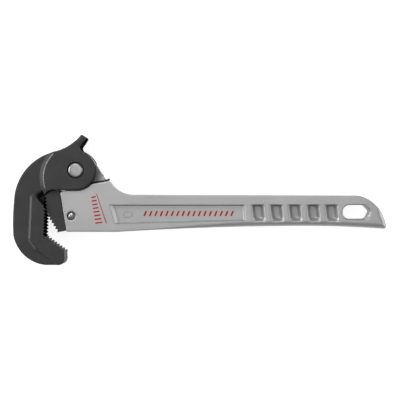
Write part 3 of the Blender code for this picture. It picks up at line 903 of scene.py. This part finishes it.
def line_band(nodes, links, place, start, end, inner, outer):
    """Band about a straight line in plan."""
    way = np.subtract(end, start)
    across = np.array([-way[1], way[0]]) / np.linalg.norm(way)
    side = nodes.new("ShaderNodeVectorMath")
    side.operation = "DOT_PRODUCT"
    side.inputs[1].default_value = (across[0], across[1], 0.0)
    links.new(place, side.inputs[0])
    return band(nodes, links, side.outputs["Value"], float(across @ start), inner, outer)


def fade(nodes, links, source, inner, outer):
    """One below inner, nought above outer; lengths in millimetres."""
    node = nodes.new("ShaderNodeMapRange")
    node.interpolation_type = "SMOOTHSTEP"
    node.inputs["From Min"].default_value = inner * MM
    node.inputs["From Max"].default_value = outer * MM
    node.inputs["To Min"].default_value = 1.0
    node.inputs["To Max"].default_value = 0.0
    links.new(source, node.inputs["Value"])
    return node.outputs["Result"]


def distance_from(nodes, links, place, centre):
    """Distance in plan from a point, whatever the height."""
    flat = nodes.new("ShaderNodeVectorMath")
    flat.operation = "MULTIPLY"
    flat.inputs[1].default_value = (1.0, 1.0, 0.0)
    links.new(place, flat.inputs[0])
    away = nodes.new("ShaderNodeVectorMath")
    away.operation = "DISTANCE"
    away.inputs[1].default_value = (centre[0] * MM, centre[1] * MM, 0.0)
    links.new(flat.outputs["Vector"], away.inputs[0])
    return away.outputs["Value"]


def times(nodes, links, first, second):
    """Product of two values."""
    node = nodes.new("ShaderNodeMath")
    node.operation = "MULTIPLY"
    for socket, value in zip(node.inputs, (first, second)):
        if isinstance(value, float):
            socket.default_value = value
        else:
            links.new(value, socket)
    return node.outputs[0]


def blend_colours(nodes, links, share, first, second):
    """Mix of two colours by a share."""
    node = nodes.new("ShaderNodeMix")
    node.data_type = "RGBA"
    links.new(share, node.inputs["Factor"])
    for socket, value in ((node.inputs[6], first), (node.inputs[7], second)):
        if isinstance(value, tuple):
            socket.default_value = (*value, 1.0)
        else:
            links.new(value, socket)
    return node.outputs[2]


def cast_look(name):
    """Blasted aluminium casting: satin grey, fine grain, faint cloudiness."""
    mat, nodes, links, shader, place = new_finish(name, (0.38, 0.38, 0.38), 0.42, 0.6)
    cloud = noise(nodes, links, place, 22.0, 3.0)
    grain = noise(nodes, links, place, 1900.0, 2.0)
    unshaded = ramp(nodes, links, cloud, [(0.3, 0.345), (0.7, 0.385)])
    links.new(ramp(nodes, links, grain, [(0.3, 0.38), (0.7, 0.5)]), shader.inputs["Roughness"])
    bump(nodes, links, shader, grain, 0.00012, 0.35)
    return mat, nodes, links, shader, place, unshaded


def cast_finish():
    """Casting with painted shade in the pockets and the hang slot: darker deep below the face."""
    mat, nodes, links, shader, place, unshaded = cast_look("cast_aluminium")
    # painted shade: surfaces deep in the pockets, the hang slot and the pin hole darken, as if shaded by the
    # walls above
    deep = axis_band(nodes, links, place, 2, MIDDLE, 5.6, 6.8)
    rows = axis_band(nodes, links, place, 1, -12.8, 9.0, 9.8)
    painted_shade = times(nodes, links, times(nodes, links, deep, rows), 0.3)
    links.new(blend_colours(nodes, links, painted_shade, unshaded, (0.15, 0.15, 0.155)), shader.inputs["Base Color"])
    return mat


def ear_finish():
    """Casting darkened by painted shade beside the cheeks, and its own colour towards its outer rim and on
    its rim wall.
    """
    mat, nodes, links, shader, place, unshaded = cast_look("cast_aluminium_ear")
    away = distance_from(nodes, links, place, PIVOT)
    # painted shade: the ear's faces within about 22 mm of the pivot darken as if in the cheeks' shadow
    cheek_shade = fade(nodes, links, away, 22.0, 29.0)
    faces = blend_colours(nodes, links, cheek_shade, unshaded, (0.12, 0.12, 0.122))
    rim = axis_band(nodes, links, place, 2, MIDDLE, 4.1, 4.8)
    links.new(blend_colours(nodes, links, rim, faces, unshaded), shader.inputs["Base Color"])
    return mat


def forged_finish():
    """Black oxide on forged steel: matt and mottled; painted shade on the sides and in the throat, and
    painted highlights at the cheek step's edge (patchy like rubbed wear) and at the pad's edges.
    """
    mat, nodes, links, shader, place = new_finish("black_steel", (0.04, 0.04, 0.04), 0.5, 0.0)
    shader.inputs["Specular IOR Level"].default_value = 0.2
    cloud = noise(nodes, links, place, 60.0, 5.0)
    grain = noise(nodes, links, place, 1300.0, 3.0)
    face = ramp(nodes, links, cloud, [(0.3, 0.029), (0.7, 0.038)])
    # painted shade: everything nearer the middle plane than the body's faces (the sides, the fork's inner
    # faces and the throat's hollow) goes near black
    sides = axis_band(nodes, links, place, 2, MIDDLE, BODY_HALF - 1.6, BODY_HALF - 0.4)
    coat = blend_colours(nodes, links, sides, face, (0.004, 0.004, 0.004))

    # painted highlight along the cheek step's top edge, made patchy like rubbed wear
    centre, radius = circle_through((-146.2, 45.6), (-155.6, 26.0), (-154.0, 11.4))
    away = distance_from(nodes, links, place, centre)
    step_edge = band(nodes, links, away, radius + 0.2, 0.2, 0.8)
    high = axis_band(nodes, links, place, 1, 29.0, 15.5, 18.5)
    patchy = ramp(nodes, links, noise(nodes, links, place, 420.0, 3.0), [(0.35, 0.35), (0.6, 1.0)])
    cheek = axis_band(nodes, links, place, 0, -151.5, 6.0, 7.0)
    step_highlight = times(nodes, links, times(nodes, links, step_edge, high), times(nodes, links, patchy, cheek))
    coat = blend_colours(nodes, links, step_highlight, coat, (0.22, 0.22, 0.22))

    # painted highlight along the tooth pad's left edge, where its ramp catches the light
    pad_edge = line_band(nodes, links, place, (-168.9, 2.9), (-170.6, -38.6), 1.0, 1.5)
    upright = axis_band(nodes, links, place, 1, -19.0, 21.0, 22.5)
    coat = blend_colours(nodes, links, times(nodes, links, pad_edge, upright), coat, (0.06, 0.06, 0.06))
    # painted highlight along the pad's lower left edge
    corner_highlight = line_band(nodes, links, place, (-170.6, -41.4), (-164.2, -49.4), 0.3, 0.9)
    low = axis_band(nodes, links, place, 1, -45.0, 4.0, 5.0)
    coat = blend_colours(nodes, links, times(nodes, links, corner_highlight, low), coat, (0.08, 0.08, 0.08))
    links.new(coat, shader.inputs["Base Color"])
    links.new(ramp(nodes, links, grain, [(0.25, 0.44), (0.75, 0.6)]), shader.inputs["Roughness"])
    bump(nodes, links, shader, grain, 0.00016, 0.4)
    return mat


def side_shade_finish():
    """Painted shade on the forgings' sides: near black, dead matt, without specular."""
    mat, nodes, links, shader, place = new_finish("black_steel_sides", (0.006, 0.006, 0.006), 0.9, 0.0)
    shader.inputs["Specular IOR Level"].default_value = 0.0
    cloud = noise(nodes, links, place, 300.0, 3.0)
    links.new(ramp(nodes, links, cloud, [(0.3, 0.004), (0.7, 0.008)]), shader.inputs["Base Color"])
    return mat


def worn_lit_finish():
    """Grey steel on the sides at the crests of the sloping teeth and on the tip: painted light where these
    walls face the lamps, and wear on the crests.
    """
    mat, nodes, links, shader, place = new_finish("black_steel_worn_lit", (0.12, 0.12, 0.12), 0.7, 0.0)
    shader.inputs["Specular IOR Level"].default_value = 0.1
    cloud = noise(nodes, links, place, 300.0, 3.0)
    links.new(ramp(nodes, links, cloud, [(0.3, 0.1), (0.7, 0.14)]), shader.inputs["Base Color"])
    return mat


def bright_finish():
    """Ground steel: bright metal with fine turned lines."""
    mat, nodes, links, shader, place = new_finish("bright_steel", (0.3, 0.3, 0.3), 0.34, 1.0)
    fine = noise(nodes, links, place, 2600.0, 2.0)
    links.new(ramp(nodes, links, fine, [(0.3, 0.3), (0.7, 0.42)]), shader.inputs["Roughness"])
    bump(nodes, links, shader, fine, 0.00004, 0.3)
    return mat


def wire_finish():
    """Oiled dark spring steel."""
    mat, nodes, links, shader, place = new_finish("spring_steel", (0.02, 0.02, 0.02), 0.35, 0.4)
    fine = noise(nodes, links, place, 900.0, 2.0)
    links.new(ramp(nodes, links, fine, [(0.3, 0.3), (0.7, 0.45)]), shader.inputs["Roughness"])
    return mat


def bronze_finish():
    """Machined bronze."""
    mat, nodes, links, shader, place = new_finish("bushing_bronze", (0.45, 0.28, 0.12), 0.35, 1.0)
    fine = noise(nodes, links, place, 800.0, 2.0)
    links.new(ramp(nodes, links, fine, [(0.3, 0.3), (0.7, 0.42)]), shader.inputs["Roughness"])
    return mat


def red_finish():
    """Printed red ink, slightly uneven."""
    mat, nodes, links, shader, place = new_finish("red_ink", (0.4, 0.01, 0.015), 0.6, 0.0)
    shader.inputs["Specular IOR Level"].default_value = 0.15
    patchy = noise(nodes, links, place, 700.0, 3.0)
    ink = ramp(nodes, links, patchy, [(0.3, (0.3, 0.006, 0.01)), (0.7, (0.42, 0.012, 0.018))])
    links.new(ink, shader.inputs["Base Color"])
    return mat


def floor_finish():
    """Plain pale paper."""
    mat, nodes, links, shader, place = new_finish("pale_floor", (0.5, 0.5, 0.5), 0.9, 0.0)
    shader.inputs["Specular IOR Level"].default_value = 0.0
    shader.inputs["Emission Color"].default_value = (1.0, 1.0, 1.0, 1.0)
    shader.inputs["Emission Strength"].default_value = 0.8
    cloud = noise(nodes, links, place, 3.0, 2.0)
    links.new(ramp(nodes, links, cloud, [(0.3, 0.49), (0.7, 0.51)]), shader.inputs["Base Color"])
    return mat


# ---------------------------------------------------------------- stage

def area_light(name, place, target, size, watts):
    """Large soft lamp aimed at a point."""
    data = bpy.data.lights.new(name, "AREA")
    data.shape = "SQUARE"
    data.size = size
    data.energy = watts
    lamp = bpy.data.objects.new(name, data)
    lamp.location = place
    lamp.rotation_euler = (Vector(target) - Vector(place)).to_track_quat("-Z", "Y").to_euler()
    bpy.context.scene.collection.objects.link(lamp)


def make_stage():
    """Pale floor, soft light from above the tab side, and a camera looking straight down on the face."""
    mesh = bpy.data.meshes.new("floor")
    reach = 3.0
    corners = [(-reach, -reach, 0.0), (reach, -reach, 0.0), (reach, reach, 0.0), (-reach, reach, 0.0)]
    mesh.from_pydata(corners, [], [(0, 1, 2, 3)])
    mesh.materials.append(floor_finish())
    floor = bpy.data.objects.new("floor", mesh)
    bpy.context.scene.collection.objects.link(floor)

    world = bpy.data.worlds.new("studio")
    bpy.context.scene.world = world
    world.use_nodes = True
    sky = world.node_tree.nodes["Background"]
    sky.inputs["Color"].default_value = (1.0, 1.0, 1.0, 1.0)
    sky.inputs["Strength"].default_value = 0.3

    area_light("top_light", (-0.4, 1.15, 0.95), (0.0, 0.0, 0.0), 0.8, 11.0)
    area_light("overhead_light", (0.0, 0.25, 1.9), (0.0, 0.0, 0.0), 1.3, 8.0)
    area_light("left_light", (-1.0, 0.2, 0.3), (0.0, 0.0, 0.0), 0.6, 9.0)
    area_light("right_light", (1.0, 0.2, 0.3), (0.1, 0.0, 0.0), 0.6, 3.5)

    face = (MIDDLE + BODY_HALF) * MM
    data = bpy.data.cameras.new("camera")
    data.sensor_width = 36.0
    distance, width = 1.0, 0.4
    data.lens = data.sensor_width * distance / width
    camera = bpy.data.objects.new("camera", data)
    camera.location = (0.0, 0.0, face + distance)
    bpy.context.scene.collection.objects.link(camera)
    bpy.context.scene.camera = camera
    bpy.context.scene.view_settings.view_transform = "Standard"


def main():
    """Build the stage and every piece, and give the two kept nodes their finishes."""
    make_stage()
    # scale holds the painted-shade finish for the forgings' sides
    forged, scale, bright, wire = forged_finish(), side_shade_finish(), bright_finish(), wire_finish()
    cast = cast_finish()
    make_handle(cast)
    make_ear(ear_finish())
    make_hook(forged, (scale, worn_lit_finish()))
    make_heel(forged, (scale,))
    make_pivot_pin(bright)
    make_heel_pin(bright)
    make_spring(wire)
    make_marks(red_finish())
    make_cast_mark(cast)
    for node, finish in (("retaining_ring", wire), ("pivot_bushing", bronze_finish())):
        materials = frame["nodes"][node].data.materials
        materials.clear()
        materials.append(finish)


main()
